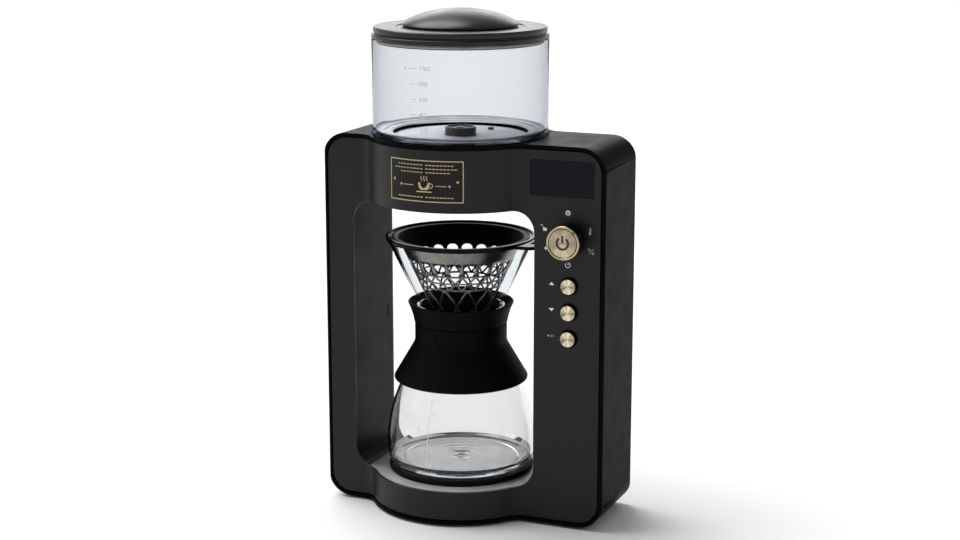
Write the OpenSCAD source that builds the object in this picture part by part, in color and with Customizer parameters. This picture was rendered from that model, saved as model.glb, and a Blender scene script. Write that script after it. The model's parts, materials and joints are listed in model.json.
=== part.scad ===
// Pour-over drip brewer: a case with a through window, a round water tank on top,
// a glass dripper and carafe in the window, and a dial and buttons on the right pillar.
// Millimetres, +Z up, front towards -Y. Origin: centre of the footprint, on the table.

/* [Body] */
// Width of the whole body
body_w = 250; // [244:1:256]
// Height of the body above its feet
body_h = 317; // [312:1:322]
// Front-to-back depth of the two pillars
pillar_d = 78; // [76:1:80]
// Corner radius of the body seen from the front
corner_r = 21; // [18:1:24]
// Radius of the round bulge under the tank
bulge_r = 77; // [77:0.5:79]
// Radius of the hollow blend from the bulge to the flat front
blend_r = 15; // [12:1:18]
// Sideways place of the tank's axis
tank_x = -16.5; // [-17.5:0.5:-15.5]
// Thickness of the case
wall = 3; // [2.6:0.2:3.2]
// Thickness of the front and back covers
cover_t = 2.4; // [2:0.2:2.6]
// Height of the rubber feet
foot_h = 2; // [1.5:0.5:3]

/* [Window] */
// Width of the left pillar
left_pillar_w = 26.7; // [25:0.1:28]
// Width of the right pillar, which holds the controls
right_pillar_w = 60.5; // [59:0.5:61]
// Height of the base under the window
base_h = 27.8; // [26:0.2:29]
// Height of the beam over the window
beam_h = 54.6; // [53:0.2:56]
// Corner radius of the window in the covers
window_r = 18.5; // [14:0.5:18.5]
// Corner radius of the lining inside the window
liner_r = 10; // [8:1:12]

/* [Tank] */
// Outer radius of the water tank
tank_r = 73.3; // [72.5:0.1:73.6]
// Thickness of the tank's wall
tank_t = 2.4; // [2:0.2:2.8]
// Height of the tank's wall above the deck
tank_h = 79; // [70:1:90]
// Radius of the domed knob on the lid
dome_r = 48.5; // [40:0.5:50]
// Height of the domed knob
dome_h = 15.5; // [12:0.5:20]

/* [Carafe and dripper] */
// Radius of the pad that the carafe stands on
rest_r = 61.8; // [58:0.2:64]
// Thickness of that pad
rest_t = 5; // [4:0.5:6]
// Outer radius of the dripper's black rim
rim_r = 63.5; // [62:0.5:64]
// Holes round the top of the steel filter
filter_holes = 22; // [18:1:24]

/* [Controls] */
// Sideways place of the dial and the buttons
controls_x = 95; // [93:0.5:97]
// Height of the dial's axis
dial_z = 244; // [240:1:248]
// Outer radius of the dial
dial_r = 14; // [12:0.5:15]
// Radius of a push button
button_r = 6.25; // [5.5:0.25:6.5]
// Height of the top button
button_top_z = 205.7; // [200:0.1:208]
// Distance from one button to the next
button_pitch = 21.8; // [19:0.1:23]
// Travel of a push button
button_travel = 1.2; // [0.8:0.1:1.2]
// Width of the display
display_w = 54.6; // [50:0.2:56]
// Height of the display
display_h = 29.2; // [26:0.2:31]

/* [Hidden] */
$fn = 96;
fit_gap = 0.2;                          // gap between pieces that part from each other
top_z = foot_h + body_h;
half_w = body_w / 2;
half_d = pillar_d / 2;
window_x0 = -half_w + left_pillar_w;
window_x1 = half_w - right_pillar_w;
window_z0 = foot_h + base_h;
window_z1 = top_z - beam_h;
cover_inset = 0.8;                      // covers sit this far behind the case's rim
cover_gap = 1;                          // groove between the case's rim and a cover
cover_y = half_d - cover_inset;         // distance of a cover's flat outside from the middle
cover_in_y = cover_y - cover_t;
cover_out_r = bulge_r - cover_inset;    // radius of a cover's bulge
liner_t = 2;
tray_t = 1.6;
tray_z = window_z0 + 0.2;               // top of the tray plate
rest_z = tray_z + rest_t;               // top of the carafe pad
deck_hole_r = 70;
base_cover_t = 1.4;
flat_half_w = half_w - corner_r - 1;    // flat part of the case's underside
screw_x = half_w - 42;                  // screws of the base cover
screw_y = half_d - 11;
plate_edge = 0.9;                       // width of the nameplate's frame
plate_z0 = top_z - 45.8;
plate_z1 = top_z - 11.9;
display_x = controls_x - 7;             // middle of the display
display_z = dial_z + 48.8;
sensor_y = 28;                          // middle of the carafe sensor
sensor_z = 152.5;
right_mid_x = half_w - right_pillar_w / 2 - 1;
pump_x = right_mid_x + 1;
left_mid_x = window_x0 - left_pillar_w / 2 + 1;

// ---- tank, valve and lid
tank_z = top_z + fit_gap;
tank_top = tank_z + tank_h - fit_gap;
tank_in_r = tank_r - tank_t;
sump_r = 56;
sump_z = top_z - 1.4;                   // top of the pale floor disc in the sump
socket_floor_z = top_z - 15;
valve_r = 13;
valve_z0 = socket_floor_z + 2.8;
valve_seat_z = valve_z0 + 3;
poppet_lift = 3;                        // how far the socket's pin holds the valve open
lid_z = tank_top + fit_gap;
lid_top = lid_z + 9.4;
dome_z = lid_top - 1;

// ---- carafe, collar, dripper, filter
carafe_t = 2;
carafe_floor = 4;
carafe_z = rest_z + fit_gap;
glass_outline = [[54, 0], [58.8, 1.5], [61.6, 5], [62.9, 11], [63.3, 19], [62.9, 29], [61.5, 39],
    [58.5, 51], [53.8, 64], [48, 78], [42, 92], [38, 104], [36.6, 115], [36.5, 134], [37.2, 137.3]];
mouth_z = carafe_z + 137.3;
collar_z = carafe_z + 73.2;
cone_top_r = 61.8;
cone_top_z = mouth_z + 56.4;
cone_slope = 0.477;                     // radius gained for each unit of height
cone_t = 2;
cone_low_z = cone_top_z - 100;
rim_z = cone_top_z + fit_gap;
rim_h = 3.9;
tab_x = 76.5;                           // reach of the rim's lifting tab from the axis
tab_half_w = 24;
filter_z = rim_z + rim_h - 2.4;         // underside of the filter's flange
filter_t = 0.8;
filter_top_r = 54;
filter_slope = 0.48;
filter_low_z = filter_z - 62;
band_h = 13;                            // solid band under the flange
mesh_top_z = filter_z - 50;
mesh_low_z = filter_z - 88;

// ---- pieces inside the right pillar
pump_z = foot_h + 6;
pump_foot_h = pump_z - foot_h - base_cover_t;   // foot between the pump and the base cover
heater_x = 90;
heater_z = 98;
heater_h = 110;
hose_r = 3.5;
board_y = 26.4;                         // back of the control board, from the middle
board_t = 1.6;
switch_h = 3.8;
cap_t = 1.1;                            // thickness of the power button's cap
board_hole_x = [controls_x - 23, controls_x + 19];
board_hole_z = [154, 270];
head_r = 30;
head_z = window_z1 - 5.4;

// ---- colours
black = [0.09, 0.09, 0.1];
gloss_black = [0.05, 0.05, 0.06];
soft_black = [0.07, 0.07, 0.07];
gold = [0.8, 0.7, 0.5];
steel = [0.7, 0.7, 0.68];
clear = [0.85, 0.9, 0.92, 0.35];
grey = [0.35, 0.35, 0.36];
board_green = [0.08, 0.3, 0.16];

// ---- shared shapes

// Outline of the body seen from above, pulled in by inset. Each blend circle bites a hair into the
// bulge and the flat, so that the curves cross instead of just touching.
module plan(inset) {
    r = bulge_r - inset;
    blend = blend_r + inset;
    d = half_d - inset;
    dx = sqrt(pow(bulge_r + blend_r, 2) - pow(half_d + blend_r, 2));
    tx = dx * r / (r + blend);
    ty = (d + blend) * r / (r + blend);
    edge = 3;
    bite = 0.01;
    union() {
        square([2 * (half_w - inset - edge), 2 * d], center = true);
        square([2 * (half_w - inset), 2 * (d - edge)], center = true);
        for (sx = [-1, 1], sy = [-1, 1])
            translate([sx * (half_w - inset - edge), sy * (d - edge)]) circle(edge);
        translate([tank_x, 0]) {
            circle(r);
            difference() {
                polygon([[-dx, -d], [-tx, -ty], [tx, -ty], [dx, -d], [dx, d], [tx, ty], [-tx, ty], [-dx, d]]);
                for (sx = [-1, 1], sy = [-1, 1])
                    translate([sx * dx, sy * (d + blend)]) circle(blend + bite);
            }
        }
    }
}

// Rectangle from two corners with rounded corners
module round_rect(x0, z0, x1, z1, r) {
    translate([x0 + r, z0]) square([x1 - x0 - 2 * r, z1 - z0]);
    translate([x0, z0 + r]) square([x1 - x0, z1 - z0 - 2 * r]);
    for (x = [x0 + r, x1 - r], z = [z0 + r, z1 - r])
        translate([x, z]) circle(r);
}

// Outline of the body seen from the front, pulled in by inset
module face(inset) {
    round_rect(inset - half_w, foot_h + inset, half_w - inset, top_z - inset, corner_r - inset);
}

// Extrudes a front view from y0 back to y1
module along_y(y0, y1) {
    translate([0, y1, 0]) rotate([90, 0, 0]) linear_extrude(y1 - y0) children();
}

// Puts a piece turned about +Z at (x, z) on the front, with its +Z towards the user
module on_front(x, z) {
    translate([x, 0, z]) rotate([90, 0, 0]) children();
}

module tube(r_out, r_in, z0, z1) {
    translate([0, 0, z0]) difference() {
        cylinder(r = r_out, h = z1 - z0);
        translate([0, 0, -1]) cylinder(r = r_in, h = z1 - z0 + 2);
    }
}

module rod(r, z0, z1) {
    translate([0, 0, z0]) cylinder(r = r, h = z1 - z0);
}

module block(x0, y0, z0, x1, y1, z1) {
    translate([x0, y0, z0]) cube([x1 - x0, y1 - y0, z1 - z0]);
}

// Round bar through a list of points, with ball corners
module pipe(points, r) {
    for (i = [0:len(points) - 2]) {
        step = points[i + 1] - points[i];
        translate(points[i])
            rotate([0, acos(step.z / norm(step)), atan2(step.y, step.x)]) cylinder(r = r, h = norm(step));
    }
    for (i = [1:len(points) - 2])
        translate(points[i]) sphere(r);
}

// Point of a smooth curve through four control points
function on_curve(a, b, c, d, t) = 0.5 * (2 * b + (c - a) * t + (2 * a - 5 * b + 4 * c - d) * t * t
    + (3 * b - a - 3 * c + d) * t * t * t);

// Smooth curve through all the control points, with n steps between two of them
function smooth(p, n) = concat([for (i = [0:len(p) - 2]) for (j = [0:n - 1])
    on_curve(p[max(i - 1, 0)], p[i], p[i + 1], p[min(i + 2, len(p) - 1)], j / n)], [p[len(p) - 1]]);

function reversed(p) = [for (i = [len(p) - 1:-1:0]) p[i]];

// ---- case

module main_case() {
    color(black) difference() {
        union() {
            intersection() {
                linear_extrude(top_z) plan(0);
                along_y(-bulge_r - 1, bulge_r + 1) difference() {
                    face(0);
                    face(wall);
                }
            }
            at_screws() rod(5, foot_h + 2, foot_h + 12);
        }
        translate([tank_x, 0, top_z - wall - 1]) cylinder(r = deck_hole_r, h = wall + 2);
        translate([tank_x, 0, 0]) tube(tank_r + 1.4, tank_r + 0.3, top_z - 1, top_z + 1);
        translate([0, 0, foot_h - 1]) linear_extrude(1 + base_cover_t) base_plan(6, flat_half_w + 0.3);
        translate([0, 0, foot_h - 1]) linear_extrude(wall + 2) base_plan(22, flat_half_w - 3);
        at_screws() rod(1.6, foot_h - 1, foot_h + 9);
    }
}

// Curved plate that follows the front (side -1) or the back (side 1), with the window cut out
module cover_plate(side) {
    y0 = side < 0 ? -bulge_r - 1 : cover_in_y - 0.3;
    y1 = side < 0 ? 0.3 - cover_in_y : bulge_r + 1;
    difference() {
        intersection() {
            linear_extrude(top_z) plan(cover_inset);
            along_y(y0, y1) difference() {
                face(wall + cover_gap);
                round_rect(window_x0, window_z0, window_x1, window_z1, window_r);
            }
        }
        linear_extrude(top_z) plan(cover_inset + cover_t);
    }
}

module front_cover() {
    color(black) difference() {
        cover_plate(-1);
        along_y(-half_d - 1, 0) display_outline(0.1);
        on_front(controls_x, dial_z) cylinder(r = 4.8, h = half_d + 1);
        for (i = [0:2])
            on_front(controls_x, button_top_z - i * button_pitch) cylinder(r = button_r + 1.55, h = half_d + 1);
    }
}

module back_cover() {
    color(black) difference() {
        cover_plate(1);
        for (i = [0:7])
            block(right_mid_x - 16, cover_in_y - 1, 52 + i * 7, right_mid_x + 16, half_d + 1, 55 + i * 7);
        block(left_mid_x - 8.2, cover_in_y - 1, 33.8, left_mid_x + 8.2, half_d + 1, 56.2);
    }
}

// Outline of the body seen from above, pulled in by inset and no wider than x each way
module base_plan(inset, x) {
    intersection() {
        plan(inset);
        square([2 * x, 2 * bulge_r], center = true);
    }
}

module at_screws() {
    for (sx = [-1, 1], sy = [-1, 1])
        translate([sx * screw_x, sy * screw_y, 0]) children();
}

module base_cover() {
    color(soft_black) difference() {
        translate([0, 0, foot_h]) linear_extrude(base_cover_t) base_plan(6.3, flat_half_w);
        at_screws() rod(1.7, foot_h - 1, foot_h + 3);
    }
}

module feet() {
    color(soft_black) {
        for (x = [8 - half_w * 0.8, half_w * 0.8 - 8], y = [-18, 18])
            translate([x, y, 0]) foot();
        for (y = [-58, 58])
            translate([tank_x, y, 0]) foot();
    }
}

module foot() {
    rotate_extrude() polygon([[0, 0.4], [5, 0.4], [5.4, 0], [7.2, 0], [8, 0.8], [8, foot_h], [0, foot_h]]);
}

module base_screws() {
    color(steel) at_screws() {
        rod(1.55, foot_h - 0.2, foot_h + 8.5);
        difference() {
            rod(3, foot_h - 1.6, foot_h);
            block(-2.2, -0.4, foot_h - 2, 2.2, 0.4, foot_h - 1);
            block(-0.4, -2.2, foot_h - 2, 0.4, 2.2, foot_h - 1);
        }
    }
}

module window_liner() {
    z0 = window_z0 + 0.2 - tray_t;
    color(gloss_black) difference() {
        intersection() {
            linear_extrude(top_z) plan(cover_inset + cover_t + 0.02);
            along_y(-bulge_r, bulge_r) difference() {
                round_rect(window_x0 - liner_t, z0 - liner_t, window_x1 + liner_t, window_z1 + liner_t,
                    liner_r + liner_t);
                round_rect(window_x0, z0, window_x1, window_z1, liner_r);
            }
        }
        translate([tank_x, 0, 0]) rod(4.3, window_z1 - 1, window_z1 + liner_t + 1);
        block(window_x0 - liner_t - 1, sensor_y - 1.5, sensor_z - 5.5, window_x0 + 1, sensor_y + 1.5, sensor_z + 5.5);
    }
}

module tray_plate() {
    color(grey) translate([0, 0, tray_z - tray_t]) linear_extrude(tray_t) intersection() {
        plan(3.6);
        translate([window_x0 + liner_r, -bulge_r])
            square([window_x1 - window_x0 - 2 * liner_r, 2 * bulge_r]);
    }
}

module carafe_rest() {
    color(soft_black) translate([tank_x, 0, tray_z]) rotate_extrude()
        polygon([[0, 0], [rest_r - 0.6, 0], [rest_r, 0.8], [rest_r, rest_t - 1], [rest_r - 1, rest_t],
            [0, rest_t]]);
}

// ---- tank socket in the deck

module tank_socket() {
    z = socket_floor_z;
    color(soft_black) translate([tank_x, 0, 0]) {
        rotate_extrude() polygon([[4, z - 16], [6, z - 16], [6, z - 2], [68, z - 2], [68, top_z - wall - 2],
            [73, top_z - wall - 2], [73, top_z - wall], [66, top_z - wall], [66, z], [4, z]]);
        rod(1.4, z - 8, valve_z0 - 2);
        block(-4.2, -0.7, z - 8, 4.2, 0.7, z - 5.5);
    }
}

module socket_seal() {
    color([0.75, 0.75, 0.72]) translate([tank_x, 0, socket_floor_z + 1.3])
        rotate_extrude() translate([9, 0]) circle(1.3);
}

// ---- controls

module display_outline(grow) {
    translate([display_x, display_z])
        round_rect(-display_w / 2 - grow, -display_h / 2 - grow, display_w / 2 + grow, display_h / 2 + grow, 1.5);
}

module display_window() {
    color([0.08, 0.08, 0.12]) along_y(-cover_y - 0.1, -cover_in_y) display_outline(0);
}

module display_module() {
    color([0.12, 0.14, 0.2]) translate([display_x, -cover_in_y, display_z])
        block(-25, 0.2, -13.5, 25, 4.6, 13.5);
}

module control_board() {
    color(board_green) difference() {
        block(controls_x - 26, -board_y - board_t, 150, controls_x + 22, -board_y, 304);
        for (x = board_hole_x, z = board_hole_z)
            on_front(x, z) rod(1.2, board_y - 1, board_y + board_t + 1);
    }
}

module standoffs() {
    color(steel) {
        for (x = board_hole_x, z = board_hole_z)
            on_front(x, z) rod(2.4, board_y + board_t, cover_in_y);
        for (y = [-24, 24], z = [66, 174])
            translate([wall - half_w, y, z]) rotate([0, 90, 0]) cylinder(r = 2.4, h = 9);
    }
}

module rotary_encoder() {
    color(steel) on_front(controls_x, dial_z) difference() {
        union() {
            translate([-6.5, -6, board_y + board_t]) cube([13, 12, 6]);
            rod(4.4, board_y + board_t + 5, cover_y + 0.6);
        }
        rod(3.05, board_y + board_t + 0.4, cover_y + 2);
    }
}

module button_bezels() {
    color(gloss_black) for (i = [0:2])
        on_front(controls_x, button_top_z - i * button_pitch) rotate_extrude()
            polygon([[button_r + 0.3, cover_in_y - 1], [button_r + 1.5, cover_in_y - 1],
                [button_r + 1.5, cover_y + 0.3], [button_r + 1, cover_y + 0.5], [button_r + 0.3, cover_y]]);
}

module tact_switches() {
    front = board_y + board_t;
    color(grey) for (i = [0:2])
        on_front(controls_x, button_top_z - i * button_pitch) {
            translate([-3, -3, front]) cube([6, 6, switch_h - 0.8]);
            rod(1.5, front + switch_h - 0.8, front + switch_h);
        }
}

// Round push button with its stem; z is the height of its axis
module push_button(z) {
    stem = board_y + board_t + switch_h + button_travel + 0.2;
    cap = cover_in_y + 0.6;
    front = cover_y + 4;
    color(gold) on_front(controls_x, z) rotate_extrude()
        polygon([[0, stem], [1.8, stem], [1.8, cap], [button_r, cap], [button_r, front - 0.6],
            [button_r - 0.6, front], [1, front - 0.25], [0, front - 0.25]]);
}

module button_up() {
    push_button(button_top_z);
}

module button_down() {
    push_button(button_top_z - button_pitch);
}

module button_start() {
    push_button(button_top_z - 2 * button_pitch);
}

module dial_skirt() {
    back = cover_y + 1;
    web = cover_y + 12;
    color(gloss_black) on_front(controls_x, dial_z) rotate_extrude()
        polygon([[3, back + 1], [5.4, back + 1], [5.4, web], [dial_r - 2, web], [dial_r - 2, back],
            [dial_r - 0.8, back], [dial_r - 0.8, web + 3], [3, web + 3]]);
}

module dial_shaft() {
    color(steel) on_front(controls_x, dial_z) tube(3, 1.56, board_y + board_t + 1, cover_y + 15);
}

module dial_ring() {
    back = cover_y + 15;
    color(gold) on_front(controls_x, dial_z) difference() {
        rotate_extrude() polygon([[dial_r - 1.9, back], [dial_r - 0.3, back], [dial_r, back + 0.3],
            [dial_r, back + 1.8], [dial_r - 0.6, back + 2.4], [dial_r - 1.4, back + 2.4],
            [dial_r - 1.9, back + 2]]);
        rotate([0, 0, 45]) block(dial_r - 1.6, -0.5, back + 2, dial_r + 1, 0.5, back + 3);
    }
}

module power_button() {
    front = cover_y + 17.1;
    r = dial_r - 2.3;
    color(gold) on_front(controls_x, dial_z) rotate_extrude()
        polygon([[0, front - cap_t], [r, front - cap_t], [r, front - 0.4], [r - 0.4, front], [0, front]]);
}

module power_stem() {
    color(steel) on_front(controls_x, dial_z) rod(1.5, board_y + board_t + 1.3, cover_y + 17.1 - cap_t);
}

// ---- nameplate on the bulge

// Curved sheet on the bulge, from radius r0 to r1, shrunk by inset on each edge
module bulge_sheet(r0, r1, inset) {
    half_a = 24.4 - inset / bulge_r * 57.3;
    translate([tank_x, 0, 0]) intersection() {
        tube(r1, r0, plate_z0 + inset, plate_z1 - inset);
        rotate([0, 0, 0.8]) linear_extrude(top_z)
            polygon([[0, 0], [-100 * sin(half_a), -100 * cos(half_a)], [100 * sin(half_a), -100 * cos(half_a)]]);
    }
}

module nameplate() {
    color(gloss_black) bulge_sheet(cover_out_r, cover_out_r + 0.4, plate_edge);
}

module nameplate_frame() {
    color(gold) difference() {
        bulge_sheet(cover_out_r, cover_out_r + 0.7, 0);
        bulge_sheet(cover_out_r - 1, cover_out_r + 2, plate_edge);
    }
}

module nameplate_rivets() {
    color(gold) for (a = [-20, 21.6])
        translate([tank_x, 0, (plate_z0 + plate_z1) / 2]) rotate([0, 0, a]) rotate([90, 0, 0])
            rod(1.1, cover_out_r + 0.4, cover_out_r + 1.1);
}

// ---- water path

module shower_head() {
    color(soft_black) translate([tank_x, 0, 0]) rotate_extrude()
        polygon([[2.5, head_z + 3.2], [20, head_z + 3.2], [20, head_z + 1.8], [head_r - 2, head_z + 1.8],
            [head_r - 2, head_z], [head_r - 0.6, head_z], [head_r, head_z + 0.8], [head_r, head_z + 5.3],
            [4, head_z + 5.3], [4, head_z + 10.4], [2.5, head_z + 10.4]]);
}

module shower_plate() {
    color(steel) translate([tank_x, 0, head_z + 0.2]) difference() {
        cylinder(r = head_r - 2.2, h = 1.4);
        translate([0, 0, -1]) {
            cylinder(r = 0.9, h = 4);
            for (ring = [1:3], i = [0:6 * ring - 1])
                rotate([0, 0, i * 60 / ring]) translate([ring * 6.5, 0]) cylinder(r = 0.9, h = 4);
        }
    }
}

module tank_hose() {
    color([0.8, 0.8, 0.78]) pipe([[tank_x, 0, socket_floor_z - 16], [tank_x, 0, 284], [tank_x, 27, 284],
        [pump_x, 27, 284], [pump_x, 27, pump_z + 9], [pump_x, 22, pump_z + 9]], hose_r);
}

module pump_hose() {
    color([0.8, 0.8, 0.78]) pipe([[pump_x - 20, 0, pump_z + 9], [pump_x - 23.5, 0, pump_z + 9],
        [pump_x - 23.5, 0, 82], [heater_x, 0, 82], [heater_x, 0, heater_z - 6]], hose_r);
}

module hot_water_hose() {
    color([0.8, 0.8, 0.78]) pipe([[heater_x, 0, heater_z + heater_h + 6], [heater_x, 0, 274], [tank_x, 0, 274],
        [tank_x, 0, head_z + 10.4]], hose_r);
}

module pump_housing() {
    color(soft_black) translate([pump_x, 0, pump_z]) difference() {
        union() {
            cylinder(r = 16, h = 18);
            rod(4.5, -pump_foot_h, 1);
            translate([0, 22, 9]) rotate([90, 0, 0]) cylinder(r = 4, h = 10);
            translate([-20, 0, 9]) rotate([0, 90, 0]) cylinder(r = 4, h = 8);
        }
        rod(13.5, 2.5, 15.5);
        rod(1.56, 1, 20);
        translate([0, 23, 9]) rotate([90, 0, 0]) cylinder(r = 2.5, h = 12);
        translate([-23, 0, 9]) rotate([0, 90, 0]) cylinder(r = 2.5, h = 12);
    }
}

module pump_motor() {
    color(steel) translate([pump_x, 0, pump_z]) difference() {
        rod(13, 18, 52);
        rod(1.56, 17, 46);
    }
}

module pump_rotor() {
    color(grey) translate([pump_x, 0, pump_z]) {
        rod(1.5, 1.4, 45);
        rod(11.5, 4, 5.5);
        for (a = [0:60:300])
            rotate([0, 0, a]) block(1, -0.5, 5, 11, 0.5, 12);
    }
}

module flow_heater() {
    color([0.75, 0.76, 0.77]) {
        difference() {
            block(heater_x - 12, -9, heater_z, heater_x + 12, 11, heater_z + heater_h);
            for (z = [heater_z + 8:8:heater_z + heater_h - 8], x = [heater_x - 13, heater_x + 10])
                block(x, -10, z, x + 3, 12, z + 3);
        }
        translate([heater_x, 0, 0]) {
            tube(4, 2.5, heater_z - 6, heater_z);
            tube(4, 2.5, heater_z + heater_h, heater_z + heater_h + 6);
        }
    }
}

module heater_brackets() {
    color(steel) for (z = [heater_z + 14, heater_z + heater_h - 24])
        block(window_x1 + liner_t, -6, z, heater_x - 12, 6, z + 2);
}

module thermostat() {
    color(steel) translate([heater_x, 11, heater_z + 80]) rotate([-90, 0, 0]) {
        cylinder(r = 7, h = 2);
        cylinder(r = 5, h = 5);
    }
}

module power_board() {
    x = wall - half_w + 9;
    color(board_green) block(x, -28, 60, x + board_t, 28, 180);
    color(grey) {
        block(x + board_t, -20, 80, x + 9, 6, 108);
        block(x + board_t, -24, 171, x + 6, -16, 179);
        for (z = [124, 142])
            translate([x + board_t, 12, z]) rotate([0, 90, 0]) cylinder(r = 6, h = 7);
    }
}

module wire_harness() {
    x = wall - half_w + 15;
    color([0.2, 0.2, 0.2]) pipe([[x - 2.2, -20, 179], [x - 2.2, -20, 294], [controls_x - 15, -20, 294],
        [controls_x - 15, 0.1 - board_y, 294]], 2.1);
}

module mains_inlet() {
    color(soft_black) difference() {
        block(left_mid_x - 8, 18, 34, left_mid_x + 8, cover_y - 0.3, 56);
        block(left_mid_x - 6, 24, 36.5, left_mid_x + 6, half_d, 53.5);
    }
}

module inlet_pins() {
    color(steel) for (z = [41, 49])
        translate([left_mid_x, cover_y - 3, z]) rotate([90, 0, 0]) cylinder(r = 1.2, h = cover_y - 27);
}

module carafe_sensor() {
    color(gloss_black) block(window_x0 - 5, sensor_y - 1.4, sensor_z - 5.4, window_x0 + 0.1, sensor_y + 1.4,
        sensor_z + 5.4);
}

// ---- water tank

module tank_wall() {
    color(clear) translate([tank_x, 0, 0]) rotate_extrude()
        polygon([[valve_r + 0.1, sump_z - 3.4], [sump_r + 1.5, sump_z - 3.4], [sump_r + 3.4, tank_z],
            [tank_r, tank_z], [tank_r, tank_top], [tank_in_r, tank_top], [tank_in_r, tank_z + 4.6],
            [tank_in_r - 1, tank_z + 2.9], [tank_in_r - 3, tank_z + 2.2], [65.5, tank_z + 2.2],
            [64.8, tank_z + 3.2], [62.8, tank_z + 3.2], [62.1, tank_z + 2.2], [sump_r + 1.6, tank_z + 2.2],
            [sump_r + 0.3, tank_z + 1.2], [sump_r, sump_z - 1.2], [valve_r + 0.1, sump_z - 1.2]]);
}

module tank_floor_disc() {
    color([0.9, 0.92, 0.94]) translate([tank_x, 0, sump_z - 1.2]) difference() {
        cylinder(r = sump_r - 0.4, h = 1.2);
        translate([0, 0, -1]) cylinder(r = valve_r + 0.2, h = 4);
        translate([12, 37, -1]) cylinder(r = 2.6, h = 4);
    }
}

module tank_sensor() {
    color(grey) translate([tank_x + 12, 37, 0]) rotate_extrude()
        polygon([[0, sump_z - 1.2], [2.5, sump_z - 1.2], [2.5, sump_z + 1.4], [1.9, sump_z + 2], [0, sump_z + 2]]);
}

module valve_housing() {
    z = valve_z0;
    color(grey) translate([tank_x, 0, 0]) rotate_extrude()
        polygon([[5, z], [valve_r, z], [valve_r, sump_z + 6], [valve_r - 0.8, sump_z + 6.8],
            [valve_r - 2, sump_z + 6.8], [valve_r - 2.6, sump_z + 6.2], [valve_r - 2.6, valve_seat_z],
            [5, valve_seat_z]]);
}

module valve_strainer() {
    z = sump_z + 4.6;
    color([0.25, 0.23, 0.2]) translate([tank_x, 0, 0]) difference() {
        union() {
            rod(valve_r - 2.6, z, z + 1);
            rod(3.4, z - 4.6, z + 2);
        }
        rod(1.56, z - 6, z + 1);
        for (a = [0:45:315])
            rotate([0, 0, a]) translate([6.8, 0, z - 1]) cylinder(r = 1.3, h = 3);
    }
}

module valve_poppet() {
    z = valve_seat_z + poppet_lift;
    color([0.7, 0.7, 0.68]) translate([tank_x, 0, 0]) {
        rod(8, z, z + 1.5);
        rod(1.5, valve_z0 - 1.8, sump_z + 5);
    }
}

// ---- lid

module lid_plate() {
    z = lid_z;
    skirt_r = tank_in_r - 1.7;
    color(soft_black) translate([tank_x, 0, 0]) rotate_extrude()
        polygon([[0, lid_top - 3], [skirt_r - 1.6, lid_top - 3], [skirt_r - 1.6, z - 4], [skirt_r, z - 4],
            [skirt_r, z], [tank_r - 0.5, z], [tank_r, z + 0.5], [tank_r, z + 2.8], [tank_r - 0.6, z + 3.4],
            [tank_r - 2.4, z + 3.6], [tank_r - 2.4, z + 4.4], [tank_r - 1.5, z + 5], [tank_r - 1.5, lid_top - 0.9],
            [tank_r - 2.4, lid_top], [dome_r + 4.8, lid_top], [dome_r + 4.2, lid_top - 1],
            [0, lid_top - 1]]);
}

module lid_dome() {
    edge_z = 2;
    crown = [for (a = [0:7.5:90]) [dome_r * cos(a), edge_z + (dome_h - edge_z) * pow(sin(a), 1.4)]];
    color(soft_black) translate([tank_x, 0, dome_z]) rotate_extrude()
        polygon(concat([[0, 0], [dome_r - 1.2, 0], [dome_r - 1.2, 1.4]], crown));
}

module lid_seal() {
    skirt_r = tank_in_r - 1.7;
    color([0.6, 0.6, 0.6]) translate([tank_x, 0, 0]) rotate_extrude()
        polygon([[skirt_r, lid_z - 3.4], [skirt_r + 1.3, lid_z - 2.4], [skirt_r + 1.3, lid_z - 1.8],
            [skirt_r, lid_z - 0.8]]);
}

// ---- carafe

module carafe_glass() {
    outer = smooth(glass_outline, 4);
    inner = [for (p = reversed(outer)) if (p.y > carafe_floor + 4) [p.x - carafe_t, p.y]];
    color(clear) translate([tank_x, 0, carafe_z]) rotate_extrude()
        polygon(concat([[0, 0.8], [48, 0.8], [50, 0]], outer, inner,
            [[57.6, carafe_floor + 1.6], [53, carafe_floor], [0, carafe_floor]]));
}

module carafe_collar() {
    z = collar_z;
    inside = [for (p = reversed(smooth(glass_outline, 4))) if (p.y > 75 && p.y < 131) [p.x + 0.1, carafe_z + p.y]];
    color(soft_black) translate([tank_x, 0, 0]) rotate_extrude()
        polygon(concat([[52, z], [55.6, z], [56.8, z + 0.8], [56.9, z + 2.2], [39.9, z + 31.2],
            [39.1, z + 34], [39.1, z + 48.4], [38.4, z + 48.9], [38.4, z + 49.5], [39.6, z + 50.1],
            [40.6, z + 55], [42.6, z + 61.5], [44.6, z + 66], [44.9, z + 66.8], [44.3, z + 67.4],
            [43.4, z + 67.2], [41.2, z + 62.6], [38.8, z + 59.6], [36.9, z + 58.4]],
            inside, [[49.9, z + 1.6]]));
}

// ---- dripper and filter

function cone_r(z) = cone_top_r - (cone_top_z - z) * cone_slope;
function filter_r(z) = filter_top_r - (filter_z - z) * filter_slope;

module dripper_cone() {
    z1 = cone_top_z;
    z0 = cone_low_z;
    color(clear) translate([tank_x, 0, 0]) rotate_extrude()
        polygon([[cone_r(z0), z0], [cone_r(z1), z1], [cone_r(z1) - cone_t, z1], [cone_r(z0) - cone_t, z0]]);
}

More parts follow.
